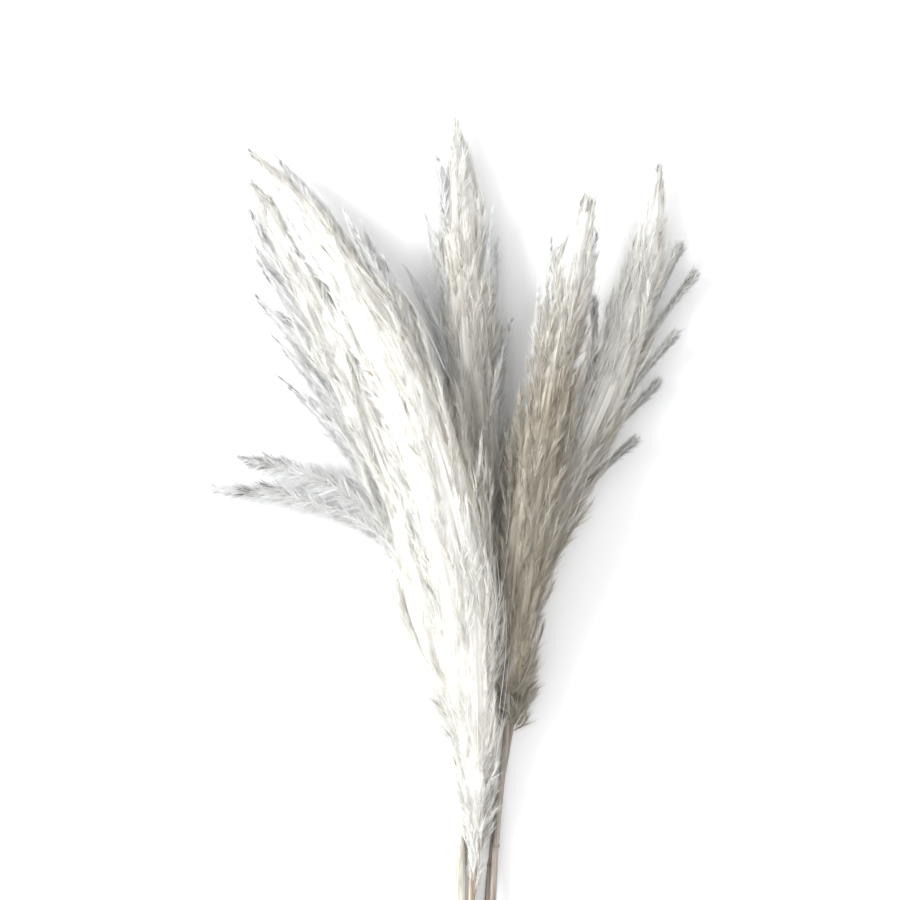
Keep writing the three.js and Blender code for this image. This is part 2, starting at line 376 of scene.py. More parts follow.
def makeBrushTree():
    shape = brushShape
    make = TreeMaker("plumeBrush", "GeometryNodeTree")
    make.tree.is_modifier = True
    make.socket("Geometry", "NodeSocketGeometry")
    for name, value, low in (
        ("Strand spacing", 0.0003, 0.00002), ("Strand length", 0.011, 0.001),
        ("Strand width", 0.0002, 0.00002), ("Looseness", 0.0008, 0.0), ("Hair share", 0.25, 0.0),
    ):
        make.socket(name, "NodeSocketFloat", value=value, low=low)
    make.socket("Strands per tuft", "NodeSocketInt", value=9, low=1)
    make.socket("Seed", "NodeSocketInt", value=1)
    make.socket("Material", "NodeSocketMaterial")
    make.socket("Geometry", "NodeSocketGeometry", "OUTPUT")
    given = make.add("NodeGroupInput").outputs
    seeds = [make.math("ADD", given["Seed"], float(step * 17)) for step in range(14)]

    # the core's faces pass straight through, and the loose edges become the branches
    core = make.add(
        "GeometryNodeSeparateGeometry", {"Geometry": given["Geometry"]}, domain="FACE"
    ).outputs["Selection"]
    faceCount = make.add("GeometryNodeInputMeshEdgeNeighbors").outputs["Face Count"]
    bare = make.add("FunctionNodeCompare", {2: faceCount, 3: 0}, data_type="INT", operation="EQUAL")
    branches = make.add(
        "GeometryNodeMeshToCurve", {"Mesh": given["Geometry"], "Selection": bare.outputs[0]}
    ).outputs["Curve"]
    rooted = make.add(
        "GeometryNodeCurveToPoints",
        {"Curve": branches, "Length": given["Strand spacing"]}, mode="LENGTH",
    )
    tangent, normal = rooted.outputs["Tangent"], rooted.outputs["Normal"]
    brush, tone = make.read("brush"), make.read("tone")

    # a tuft's strands go one way together; a share of loose fine hairs each go their own
    index = make.add("GeometryNodeInputIndex").outputs[0]
    tuft = make.math("FLOOR", make.math("DIVIDE", index, given["Strands per tuft"]))
    isHair = make.math("LESS_THAN", make.random(0.0, 1.0, seeds[0]), given["Hair share"])
    turn = make.mix(isHair, make.random(0.0, 2 * math.pi, seeds[1], tuft),
                    make.random(0.0, 2 * math.pi, seeds[2]))
    binormal = make.vector("CROSS_PRODUCT", tangent, normal)
    sideways = make.vector("ADD", make.scaled(normal, make.math("COSINE", turn)),
                           make.scaled(binormal, make.math("SINE", turn)))
    outwards = make.mix(isHair, make.random(*shape["tuftLean"], seeds[3], tuft),
                        make.random(*shape["hairLean"], seeds[4]))
    fullness = make.math("MULTIPLY", brush, shape["lengthening"])
    fullness = make.math("MINIMUM", make.math("ADD", shape["leastLength"], fullness), 1.0)
    onwards = make.mix(isHair, make.random(*shape["tuftReach"], seeds[5], tuft),
                       make.random(*shape["hairReach"], seeds[6]))
    forward = make.math("MULTIPLY", make.math("MULTIPLY", given["Strand length"], fullness),
                        onwards)
    lean = make.vector("ADD", make.scaled(tangent, forward),
                       make.scaled(sideways, make.math("MULTIPLY", brush, outwards)))
    lean = make.vector("ADD", lean, make.scatter(given["Looseness"], seeds[7]))
    length = make.add("ShaderNodeVectorMath", {0: lean}, operation="LENGTH").outputs["Value"]
    rotation = make.add("FunctionNodeAlignRotationToVector", {"Vector": lean}, axis="Z")
    roll = make.add("FunctionNodeAxisAngleToRotation", {"Axis": (0.0, 0.0, 1.0), "Angle": turn})
    rolled = make.add(
        "FunctionNodeRotateRotation",
        {"Rotation": rotation.outputs[0], "Rotate By": roll.outputs[0]}, rotation_space="LOCAL",
    )

    # a marked tuft has a dark tip; the others take their branch's tone
    isMarked = make.math("LESS_THAN", make.random(0.0, 1.0, seeds[8], tuft), make.read("mark"))
    tuftChange = make.random(-shape["tuftTone"], shape["tuftTone"], seeds[9], tuft)
    ownChange = make.random(-shape["strandTone"], shape["strandTone"], seeds[10])
    ownTone = make.math("ADD", make.math("ADD", tone, tuftChange), ownChange)
    plain = make.add("ShaderNodeClamp", {"Value": ownTone, "Min": 0.08, "Max": 0.985}).outputs[0]
    strandTone = make.mix(isMarked, plain, shape["markTone"])
    thickness = make.math("MULTIPLY", make.random(*shape["thickness"], seeds[11]),
                          make.mix(isHair, 1.0, shape["hairThickness"]))
    thickness = make.math("MULTIPLY", thickness, make.mix(isMarked, 1.0, shape["markThickness"]))
    width = make.math("MULTIPLY", given["Strand width"], thickness)
    size = make.add("ShaderNodeCombineXYZ", {0: width, 1: width, 2: length}).outputs[0]

    cone = make.add(
        "GeometryNodeMeshCone",
        {"Vertices": 3, "Side Segments": 1, "Radius Top": 0.0, "Radius Bottom": 1.0,
         "Depth": 1.0},
        fill_type="NGON",
    )
    coneZ = make.add("ShaderNodeSeparateXYZ", {0: make.add("GeometryNodeInputPosition").outputs[0]})
    strand = make.store(cone.outputs["Mesh"], "rise", coneZ.outputs["Z"], "FLOAT", "POINT")
    strand = make.store(strand, "wrap", cone.outputs["UV Map"], "FLOAT2", "CORNER")
    bases = make.add("GeometryNodeSetPosition", {
        "Geometry": rooted.outputs["Points"],
        "Offset": make.scatter(make.math("MULTIPLY", brush, shape["rootScatter"]), seeds[12]),
    }).outputs["Geometry"]
    placed = make.add(
        "GeometryNodeInstanceOnPoints",
        {"Points": bases, "Instance": strand, "Rotation": rolled.outputs[0], "Scale": size},
    ).outputs["Instances"]
    placed = make.store(placed, "strandTone", strandTone, "FLOAT", "INSTANCE")
    strands = make.add("GeometryNodeRealizeInstances", {"Geometry": placed}).outputs["Geometry"]

    # no strand goes below the surface that the bundle lies on
    here = make.add("ShaderNodeSeparateXYZ", {0: make.add("GeometryNodeInputPosition").outputs[0]})
    turnedUp = make.math("MULTIPLY", here.outputs["Z"], -shape["press"])
    lifted = make.math("ADD", turnedUp, shape["clear"])
    pressed = make.math("MAXIMUM", here.outputs["Z"], lifted)
    onSurface = make.add(
        "ShaderNodeCombineXYZ", {0: here.outputs["X"], 1: here.outputs["Y"], 2: pressed}
    ).outputs[0]
    strands = make.add("GeometryNodeSetPosition", {"Geometry": strands, "Position": onSurface})

    # the strand's own map: across is its tone, and up is root to tip
    rise = make.read("rise")
    wrap = make.add("ShaderNodeSeparateXYZ", {0: make.read("wrap", "FLOAT_VECTOR")})
    across = make.math("ADD", make.read("strandTone"),
                       make.math("MULTIPLY", wrap.outputs["X"], 0.012))
    upwards = make.math(
        "ADD", make.math("MULTIPLY", rise, 0.975), make.math("MULTIPLY", wrap.outputs["Y"], 0.02)
    )
    strandMap = make.add("ShaderNodeCombineXYZ", {0: across, 1: upwards}).outputs[0]
    mapped = make.store(strands.outputs["Geometry"], "OFBake", strandMap, "FLOAT2", "CORNER")
    joined = make.add("GeometryNodeJoinGeometry")
    make.tree.links.new(mapped, joined.inputs[0])
    make.tree.links.new(core, joined.inputs[0])
    whole = make.add("GeometryNodeRealizeInstances", {"Geometry": joined.outputs[0]}).outputs[0]
    for name in ("brush", "tone", "mark", "rise", "wrap", "strandTone"):
        cleaned = make.add("GeometryNodeRemoveAttribute", {"Geometry": whole, "Name": name})
        whole = cleaned.outputs["Geometry"]
    finished = make.add(
        "GeometryNodeSetMaterial", {"Geometry": whole, "Material": given["Material"]}
    ).outputs["Geometry"]
    make.add("NodeGroupOutput", {0: finished})
    return make.tree


brushTree = makeBrushTree()
print("brush tree ready")


plumeFinish = {
    "tipFrom": (0.05, 0.75),         # of the strand, where the root's colour turns into the tip's
    "streak": 0.12,
    "streakPlace": (90.0, 3.0),      # across the tones, and along the strand
    "markBelow": 0.05,               # a strand of a tone below this has a dark tip
    "markFrom": (0.3, 0.6),          # of the strand
    "roughness": 0.62,
    "roughnessChange": 0.3,
    "specular": 0.25,
    "sheen": 0.12,
    "sheenRoughness": 0.4,
}


def makePlumeTint():  # colour and roughness of a strand from its tone and the place along it
    make = TreeMaker("plumeTint", "ShaderNodeTree")
    for name in ("Shaded root", "Shaded tip", "Bleached root", "Bleached tip", "Mark"):
        make.socket(name, "NodeSocketColor", value=(1.0, 1.0, 1.0, 1.0))
    make.socket("Tone", "NodeSocketFloat")
    make.socket("Along", "NodeSocketFloat")
    make.socket("Streak", "NodeSocketFloat", value=0.06)
    make.socket("Colour", "NodeSocketColor", "OUTPUT")
    make.socket("Roughness", "NodeSocketFloat", "OUTPUT")
    given = make.add("NodeGroupInput").outputs
    rise = make.step(given["Along"], *plumeFinish["tipFrom"])
    shaded = make.blend(rise, given["Shaded root"], given["Shaded tip"])
    bleached = make.blend(rise, given["Bleached root"], given["Bleached tip"])
    # a low tone turns the strand to the shaded colours: painted shade
    toned = make.blend(given["Tone"], shaded, bleached)
    # fine streaks: each strand a little lighter or darker, and never even along its length
    acrossScale, alongScale = plumeFinish["streakPlace"]
    place = make.add("ShaderNodeCombineXYZ", {
        0: make.math("MULTIPLY", given["Tone"], acrossScale),
        1: make.math("MULTIPLY", given["Along"], alongScale),
    }).outputs[0]
    streak = make.add("ShaderNodeTexNoise", {"Vector": place, "Scale": 1.0, "Detail": 3.0},
                      noise_dimensions="2D").outputs[0]
    centred = make.math("SUBTRACT", streak, 0.5)
    value = make.math("ADD", 1.0, make.math("MULTIPLY", centred, given["Streak"]))
    streaked = make.add("ShaderNodeHueSaturation", {"Value": value, "Color": toned}).outputs[0]
    isMarked = make.math("LESS_THAN", given["Tone"], plumeFinish["markBelow"])
    atTip = make.step(given["Along"], *plumeFinish["markFrom"])
    colour = make.blend(make.math("MULTIPLY", isMarked, atTip), streaked, given["Mark"])
    change = make.math("MULTIPLY", centred, plumeFinish["roughnessChange"])
    rough = make.math("ADD", plumeFinish["roughness"], change)
    make.add("NodeGroupOutput", {"Colour": colour, "Roughness": rough})
    return make.tree


plumeTint = makePlumeTint()


def plumeMaterial(name, colours):
    material, shader = newMaterial(name, plumeFinish["specular"])
    tree = material.node_tree
    shader.inputs["Sheen Weight"].default_value = plumeFinish["sheen"]
    shader.inputs["Sheen Roughness"].default_value = plumeFinish["sheenRoughness"]
    strandMap = tree.nodes.new("ShaderNodeUVMap")
    strandMap.uv_map = "OFBake"
    parts = tree.nodes.new("ShaderNodeSeparateXYZ")
    tint = tree.nodes.new("ShaderNodeGroup")
    tint.node_tree = plumeTint
    for socket, colour in colours.items():
        tint.inputs[socket].default_value = (*colour, 1.0)
    tint.inputs["Streak"].default_value = plumeFinish["streak"]
    link = tree.links.new
    link(strandMap.outputs["UV"], parts.inputs[0])
    link(parts.outputs["X"], tint.inputs["Tone"])
    link(parts.outputs["Y"], tint.inputs["Along"])
    link(tint.outputs["Colour"], shader.inputs["Base Color"])
    link(tint.outputs["Roughness"], shader.inputs["Roughness"])
    return material


# the shaded colours are painted shade, partly the plume's own warm tan deep inside; the bleached ones
# are its own colour
headFinish = plumeMaterial("bleachedPlume", {
    "Shaded root": (0.27, 0.215, 0.135), "Shaded tip": (0.375, 0.34, 0.265),
    "Bleached root": (0.86, 0.845, 0.79), "Bleached tip": (0.90, 0.91, 0.91),
    "Mark": (0.10, 0.09, 0.09),
})
# the tassels' shaded colours are painted shade too
tasselFinish = plumeMaterial("tasselPlume", {
    "Shaded root": (0.28, 0.26, 0.23), "Shaded tip": (0.36, 0.35, 0.33),
    "Bleached root": (0.84, 0.84, 0.82), "Bleached tip": (0.90, 0.91, 0.915),
    "Mark": (0.07, 0.07, 0.075),
})
print("plume materials ready")


def brushRadii(count, widest, tipShare):
    shares = np.linspace(0.0, 1.0, count)
    rise = np.minimum(shares / 0.25, 1.0) ** 0.6
    fall = np.clip((1.0 - shares) / 0.55, 0.0, 1.0) ** 0.75
    return widest * np.maximum(rise * np.maximum(fall, tipShare), tipShare * 0.5)


class Piece:  # vertices, loose edges and faces that the brush tree reads
    def __init__(self):
        self.vertices, self.edges, self.faces = [], [], []
        self.brush, self.tone, self.mark, self.map = [], [], [], []

    def addPoint(self, point, lowest, brush=0.0, tone=0.5, mark=0.0):
        self.vertices.append((point[0], point[1], max(point[2], lowest)))
        self.brush.append(brush)
        self.tone.append(tone)
        self.mark.append(mark)

    def addBranch(self, points, radii, tone, marks):
        first = len(self.vertices)
        for point, radius, mark in zip(points, radii, marks):
            self.addPoint(point, 0.0006, radius, tone, mark)
        for i in range(len(points) - 1):
            self.edges.append((first + i, first + i + 1))

    def addLoft(self, rings, mapAt, lowest):  # closed skin through rings of points
        first, sides, stations = len(self.vertices), len(rings[0]), len(rings)
        for ring in rings:
            for point in ring:
                self.addPoint(point, lowest)
        for k in range(stations - 1):
            for i in range(sides):
                low = first + k * sides + i
                lowNext = first + k * sides + (i + 1) % sides
                self.faces.append((low, low + sides, lowNext + sides, lowNext))
                a, b = i / sides, (i + 1) / sides
                c, d = k / (stations - 1), (k + 1) / (stations - 1)
                self.map += [mapAt(a, c), mapAt(a, d), mapAt(b, d), mapAt(b, c)]
        for k, order in ((0, range(sides)), (stations - 1, range(sides - 1, -1, -1))):
            self.faces.append(tuple(first + k * sides + i for i in order))
            u, v = mapAt(0.5, k / (stations - 1))
            for i in order:
                angle = 2 * math.pi * i / sides
                self.map.append((u + 0.004 * math.cos(angle), v + 0.004 * math.sin(angle) + 0.004))

    def addHair(self, points, radius, tone, sides=3):  # one long thin loose hair
        _, across, up = frameVectors(points)
        rings = []
        for k, point in enumerate(points):
            own = radius * (1.0 - 0.7 * k / (len(points) - 1))
            rings.append([
                point + own * (across[k] * math.cos(2 * math.pi * i / sides)
                               + up[k] * math.sin(2 * math.pi * i / sides))
                for i in range(sides)
            ])
        self.addLoft(rings, lambda a, c: (tone + 0.01 * a, 0.3 + 0.6 * c), 0.0004)

    def toObject(self, name):
        mesh = bpy.data.meshes.new(name)
        mesh.from_pydata(self.vertices, self.edges, self.faces)
        for key in ("brush", "tone", "mark"):
            attribute = mesh.attributes.new(key, "FLOAT", "POINT")
            attribute.data.foreach_set("value", getattr(self, key))
        strandMap = mesh.attributes.new("OFBake", "FLOAT2", "CORNER")
        if self.map:
            strandMap.data.foreach_set("vector", [part for pair in self.map for part in pair])
        return addObject(name, mesh)


def growStrands(guide, settings, finish):  # runs the brush tree and keeps its result as a mesh
    modifier = guide.modifiers.new("brush", "NODES")
    modifier.node_group = brushTree
    sockets = {item.name: item.identifier for item in brushTree.interface.items_tree
               if item.in_out == "INPUT"}
    for name, value in settings.items():
        modifier[sockets[name]] = value
    modifier[sockets["Material"]] = finish
    evaluated = guide.evaluated_get(bpy.context.evaluated_depsgraph_get())
    mesh = bpy.data.meshes.new_from_object(evaluated)
    guide.modifiers.clear()
    guide.data = mesh
    return guide


stalkFinish = {
    "pith": (0.86, 0.80, 0.64),
    "fibres": (1500.0, 28.0, 1500.0),
    "clouds": (220.0, 30.0, 220.0),
    "fibreShare": 0.55,              # of the wear, and the clouds have the rest
    "wearFrom": (0.40, 0.62),
    "jointReach": (0.0002, 0.0016),
    "jointDark": 0.75,
    "roughness": 0.38,
    "roughnessChange": 0.3,
    "specular": 0.35,
    "bump": 0.35,
    "bumpHeight": 0.00012,
}


def makeStalkTint():  # colour and roughness of a stalk from the place on it
    make = TreeMaker("stalkTint", "ShaderNodeTree")
    for name in ("Pale", "Worn", "Pith"):
        make.socket(name, "NodeSocketColor", value=(1.0, 1.0, 1.0, 1.0))
    make.socket("Place", "NodeSocketVector")
    make.socket("Joint at", "NodeSocketFloat")
    make.socket("Cut at", "NodeSocketFloat")
    make.socket("Colour", "NodeSocketColor", "OUTPUT")
    make.socket("Roughness", "NodeSocketFloat", "OUTPUT")
    make.socket("Fibre height", "NodeSocketFloat", "OUTPUT")
    given = make.add("NodeGroupInput").outputs
    stretched = make.vector("MULTIPLY", given["Place"], stalkFinish["fibres"])
    fibre = make.add(
        "ShaderNodeTexNoise", {"Vector": stretched, "Scale": 1.0, "Detail": 3.0}
    ).outputs[0]
    cloudPlace = make.vector("MULTIPLY", given["Place"], stalkFinish["clouds"])
    cloud = make.add("ShaderNodeTexNoise", {"Vector": cloudPlace, "Scale": 1.0, "Detail": 2.0})
    fibreShare = stalkFinish["fibreShare"]
    mixed = make.math("ADD", make.math("MULTIPLY", fibre, fibreShare),
                      make.math("MULTIPLY", cloud.outputs[0], 1 - fibreShare))
    worn = make.step(mixed, *stalkFinish["wearFrom"])
    colour = make.blend(worn, given["Pale"], given["Worn"])
    # darker at the joint, and pith on the cut end
    y = make.add("ShaderNodeSeparateXYZ", {0: given["Place"]}).outputs["Y"]
    fromJoint = make.math("ABSOLUTE", make.math("SUBTRACT", y, given["Joint at"]))
    atJoint = make.math("SUBTRACT", 1.0, make.step(fromJoint, *stalkFinish["jointReach"]))
    atJoint = make.math("MULTIPLY", atJoint, stalkFinish["jointDark"])
    colour = make.blend(atJoint, colour, given["Worn"])
    isCut = make.math("LESS_THAN", y, given["Cut at"])
    colour = make.blend(isCut, colour, given["Pith"])
    change = make.math("MULTIPLY", mixed, stalkFinish["roughnessChange"])
    rough = make.math("ADD", stalkFinish["roughness"], change)
    make.add("NodeGroupOutput", {"Colour": colour, "Roughness": rough, "Fibre height": fibre})
    return make.tree


stalkTint = makeStalkTint()
stalkShape = {
    "sides": 22,
    "stations": 180,
    "ribs": 0.018,           # of the radius
    "ribPlace": (1.7, 8.0, 9.0),     # round the reed, along it and from reed to reed
    "jointSwell": 0.00035,
    "jointWidth": 0.0011,
    "jointSpan": 0.003,      # either side of the joint, with closer stations
    "hollow": 0.42,          # of the radius, at the cut end
    "hollowDepth": 0.004,
    "cutRim": 0.96,          # of the radius
    "cutBevel": 0.0003,
    "pithDepth": 0.00025,
    "topEnd": 0.5,           # of the radius, inside the head
    "clear": 0.0001,
}
stalkLooks = {
    "left_front": {"Pale": (0.56, 0.50, 0.40), "Worn": (0.24, 0.19, 0.135), "joint": 0.095},
    "right_centre": {"Pale": (0.38, 0.34, 0.30), "Worn": (0.24, 0.20, 0.165), "joint": 0.0715},
    "left_back": {"Pale": (0.70, 0.69, 0.62), "Worn": (0.44, 0.41, 0.34), "joint": 0.110},
    "centre": {"Pale": (0.50, 0.45, 0.37), "Worn": (0.32, 0.26, 0.18), "joint": 0.090},
    "right": {"Pale": (0.34, 0.30, 0.265), "Worn": (0.22, 0.18, 0.15), "joint": 0.100},
}


def stalkMaterial(name, look, jointAt, cutAt):
    material, shader = newMaterial(name, stalkFinish["specular"])
    tree = material.node_tree
    place = tree.nodes.new("ShaderNodeTexCoord")
    tint = tree.nodes.new("ShaderNodeGroup")
    tint.node_tree = stalkTint
    tint.inputs["Pale"].default_value = (*look["Pale"], 1.0)
    tint.inputs["Worn"].default_value = (*look["Worn"], 1.0)
    tint.inputs["Pith"].default_value = (*stalkFinish["pith"], 1.0)
    tint.inputs["Joint at"].default_value = jointAt
    tint.inputs["Cut at"].default_value = cutAt
    bump = tree.nodes.new("ShaderNodeBump")
    bump.inputs["Strength"].default_value = stalkFinish["bump"]
    bump.inputs["Distance"].default_value = stalkFinish["bumpHeight"]
    link = tree.links.new
    link(place.outputs["Object"], tint.inputs["Place"])
    link(tint.outputs["Colour"], shader.inputs["Base Color"])
    link(tint.outputs["Roughness"], shader.inputs["Roughness"])
    link(tint.outputs["Fibre height"], bump.inputs["Height"])
    link(bump.outputs["Normal"], shader.inputs["Normal"])
    return material


def makeStalk(name, seed):
    # a ribbed reed through the middles of the node's cross-sections, hollow at its cut end
    triangles = nodeTriangles(name + "_stalk")
    corners = triangles.reshape(-1, 3)
    low, high = corners[:, 1].min(), corners[:, 1].max()
    look, shape = stalkLooks[name], stalkShape
    jointAt = axes[name].points[0][1] - look["joint"]
    heights = np.unique(np.concatenate([
        np.linspace(low, high, shape["stations"]),
        np.linspace(jointAt - shape["jointSpan"], jointAt + shape["jointSpan"], 15),
    ]))
    middles, halves = [], []
    for y in heights:
        section = crossSection(triangles, (0, min(max(y, low + 1e-5), high - 1e-5), 0), (0, 1, 0))
        middles.append(middleOf(section))
        halves.append((section.max(axis=0) - section.min(axis=0)) / 2)
    middles, halves = smoothed(middles, 2), smoothed(halves, 2)
    vertices, faces, sides = [], [], shape["sides"]
    roundScale, alongScale, reedScale = shape["ribPlace"]

    def addRing(k, scale, shift=0.0):
        y = heights[k]
        swell = shape["jointSwell"] * math.exp(-((y - jointAt) / shape["jointWidth"]) ** 2)
        for i in range(sides):
            angle = 2 * math.pi * i / sides
            place = Vector((i * roundScale, y * alongScale, seed * reedScale))
            rib = 1 + shape["ribs"] * noise.noise(place)
            x = middles[k][0] + (halves[k][0] * rib + swell) * scale * math.cos(angle)
            z = middles[k][2] + (halves[k][2] * rib + swell) * scale * math.sin(angle)
            vertices.append((x, y + shift, max(z, shape["clear"])))

    addRing(0, shape["hollow"], shape["hollowDepth"])
    addRing(0, shape["hollow"])
    addRing(0, shape["cutRim"])
    addRing(0, 1.0, shape["cutBevel"])
    for k in range(1, len(heights)):
        addRing(k, 1.0)
    addRing(len(heights) - 1, shape["topEnd"])
    count = len(vertices) // sides
    for k in range(count - 1):
        for i in range(sides):
            a, b = k * sides + i, k * sides + (i + 1) % sides
            faces.append((a, a + sides, b + sides, b))
    faces.append(tuple(range(sides)))
    faces.append(tuple((count - 1) * sides + i for i in range(sides - 1, -1, -1)))
    mesh = bpy.data.meshes.new(name + "_reed")
    mesh.from_pydata(vertices, [], faces)
    mesh.polygons.foreach_set("use_smooth", [True] * len(mesh.polygons))
    cutAt = low + shape["pithDepth"]
    mesh.materials.append(stalkMaterial(name + "Reed", look, jointAt, cutAt))
    reed = addObject(name + "_reed", mesh)
    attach(reed, "root")
    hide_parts(name + "_stalk")


for order, name in enumerate(plumeNames):
    makeStalk(name, order + 1)
print("stalks ready")


coreShape = {
    "start": 0.005,          # of the axis
    "length": 0.965,
    "share": 0.60,           # of the way out to the skin
    "lumps": 0.2,
    "lumpPlace": (2.2, 10.0),        # round the head and along it
    "ridges": 0.16,
    "ridgePlace": (16.0, 7.0),
    "ridgeTone": 0.25,
    "paintedCoreShade": 0.05,          # painted shade: the core darker than the branches
    "clear": 0.0012,
}
headShape = {
    "branchesPerMetre": 950,
    "firstRoot": -0.04,      # of the axis
    "rootSpan": 0.97,
    "run": 0.25,             # of the axis, for the lowest branches
    "runLess": 0.11,         # by the tip
    "runChange": (0.8, 1.2),
    "gapsBelow": 0.45,       # share of the branches left out underneath
    "toneChange": (-0.09, 0.06),
    "paintedInnerShade": 0.12,       # painted shade: the outer branches this much lighter than the inner ones
    "brushWidest": 0.0060,
    "reach": (0.55, 0.97),           # of the way out to the skin
    "flare": (-0.03, 0.2),
    "turn": 0.3,
    "drift": 0.0022,
    "tipNarrowing": 0.25,            # of the reach, over the last 0.3 of the axis
    "marks": 0.02,
    "tones": (0.03, 0.96),
    "footBranches": 90,
    "footRoot": (-0.068, 0.045),     # of the axis, and negative is below the head
    "footRun": (0.04, 0.085),
    "footReach": (0.6, 1.05),
    "looseHairs": 16,
    "looseHairWidth": 0.00014,
    "curlWidth": 0.00025,
    "strands": {"Strand length": 0.0110, "Strand width": 0.00016, "Strands per tuft": 7,
                "Looseness": 0.0012, "Hair share": 0.35},
}
tasselShape = {
    "branches": 6,
    "sooner": 0.1,                   # how much of the axis earlier each next branch ends
    "droopSooner": 0.035,
    "fingerSooner": 0.012,
    "leastWidth": 0.0022,
    "leastFullWidth": 0.0036,        # of fingers and drooping ones
    "branchOut": 0.6,                # of the way out to the skin
    "fingerStrands": 0.0055,         # their length
    "fingerApart": 0.0013,
    "fingerLean": 0.0055,            # away from the head, at the finger's end
    "fingerHook": 0.002,             # back towards it at the very end
    "strands": {"Strand spacing": 0.00008, "Strand length": 0.0090, "Strand width": 0.00015,
                "Strands per tuft": 7, "Looseness": 0.0009, "Hair share": 0.35},
}
# for each plume: how light it is from foot to tip, partly its own colour and partly painted shade
# where other plumes shade it, how much painted shade darkens its right side and lightens its left,
# how far apart its strands grow, how far its foot's branches reach, the least width of its tip, how
# far its left side bulges, the share of dark ends at its tip, its curled hairs, and its tassels'
# tone, fullness, dark ends and whether they are blunt fingers
plainLook = {"footReach": 1.0, "tipWidth": 0.0, "bulge": 0.0, "curls": 0, "tasselTone": 0.0,
             "fingers": False}
plumeLooks = {
    "left_front": dict(plainLook, tone=(0.98, 0.97, 0.89, 0.86, 0.91), side=0.42,
                       spacing=0.00041, footReach=1.35, tipMark=0.5, tasselFullness=1.4,
                       tasselMarks=0.12),
    "right_centre": dict(plainLook, tone=(0.26, 0.24, 0.26, 0.26, 0.2, 0.22, 0.54, 0.82, 0.9),
                         side=0.06, spacing=0.00025, footReach=0.8, tipWidth=0.014,
                         tipMark=0.12, tasselTone=0.1, tasselFullness=1.1, tasselMarks=0.16),
    "left_back": dict(plainLook, tone=(0.95, 0.94, 0.89, 0.87, 0.86), side=0.06,
                      spacing=0.00027, bulge=0.0095, tipMark=0.4, curls=7,
                      tasselFullness=1.35, tasselMarks=0.25),
    "centre": dict(plainLook, tone=(0.57, 0.5, 0.56, 0.67, 0.92), side=0.1, spacing=0.00026,
                   tipMark=0.04, tasselTone=0.2, tasselFullness=1.5, tasselMarks=0.04),
    "right": dict(plainLook, tone=(0.47, 0.53, 0.76, 0.82, 0.92), side=0.31, spacing=0.00025,
                  footReach=0.65, tipMark=0.4, tasselTone=-0.3, tasselFullness=0.75,
                  tasselMarks=0.0, fingers=True),
}
for name in plumeNames:
    axes[name].tipWidth = plumeLooks[name]["tipWidth"]
    axes[name].bulge = plumeLooks[name]["bulge"]


def clamped(value, limits):
    return min(max(value, limits[0]), limits[1])


def toneWithPaintedShadeAt(name, t, angle):
    # painted shade: the right side of a plume darker and its left side a little lighter, as if lit
    # from the left; the tone from foot to tip is partly the plume's own colour and partly painted
    # shade
    look = plumeLooks[name]
    tone = np.interp(t, np.linspace(0.0, 1.0, len(look["tone"])), look["tone"])
    sideways = math.cos(angle)
    return float(tone) - look["side"] * (sideways**2 if sideways > 0 else 0.25 * sideways)


def headCore(piece, name, seed, sides=72, stations=70):
    # a soft lumpy mass with fibrous ridges that drift along it
    axis, rings, shape = axes[name], [], coreShape

    def noiseAt(angle, t, scales, offset=0.0):
        roundScale, alongScale = scales
        return noise.noise(Vector((math.cos(angle) * roundScale + offset,
                                   math.sin(angle) * roundScale, seed + t * alongScale)))

    def ridgeAt(i, t, offset=0.0):
        return noiseAt(2 * math.pi * i / sides, t, shape["ridgePlace"], offset)

    for k in range(stations):
        t = shape["start"] + shape["length"] * k / (stations - 1)
        ring = []
        for i in range(sides):
            angle = 2 * math.pi * i / sides
            lump = noiseAt(angle, t, shape["lumpPlace"])
            grow = shape["share"] * (1 + shape["lumps"] * lump + shape["ridges"] * ridgeAt(i, t))
            grow *= min(1.0, 0.2 + t / 0.05)
            ring.append(axis.around(t, angle, grow))
        rings.append(ring)

    def mapAt(a, c):
        ridge = shape["ridgeTone"] * ridgeAt(a * sides, c, 50.0)
        # painted shade: the core, deep inside the branches, a little darker
        tone = toneWithPaintedShadeAt(name, c, 2 * math.pi * a) - shape["paintedCoreShade"] + ridge
        return (clamped(tone, headShape["tones"]), 0.2 + 0.3 * c)

    piece.addLoft(rings, mapAt, shape["clear"])


def branchLine(axis, rootAt, run, angle, reach, random, steps=12):
    # from under the skin out to it, a little flared, with a free tip
    points, phase = [], random.uniform(0, 100)
    flare = random.uniform(*headShape["flare"])
    for share in np.linspace(0.28, 1.0, steps):
        t = rootAt + run * share
        out = reach * (1 - (1 - share) ** 1.7) + flare * share**5
        out *= 1 - headShape["tipNarrowing"] * max(0.0, t - 0.7) / 0.3
        turn = angle + headShape["turn"] * math.sin(phase + 3 * share)
        drift = np.array([noise.noise(Vector((phase, share * 2.5, row))) for row in (0.3, 7.3, 14.3)])
        points.append(axis.around(t, turn, out) + headShape["drift"] * share * drift)
    return points


def looseHair(axis, random, steps=14):
    start, angle = random.uniform(0.1, 0.85), random.uniform(0.1, math.pi - 0.1)
    run = random.uniform(0.05, 0.14)
    phase, swing = random.uniform(0, 100), random.uniform(0.05, 0.16)
    points = []
    for share in np.linspace(0.0, 1.0, steps):
        turn = angle + swing * math.sin(phase + 3 * share)
        points.append(axis.around(min(start + run * share, 0.99), turn, 1.0 + 0.14 * share))
    return np.array(points)


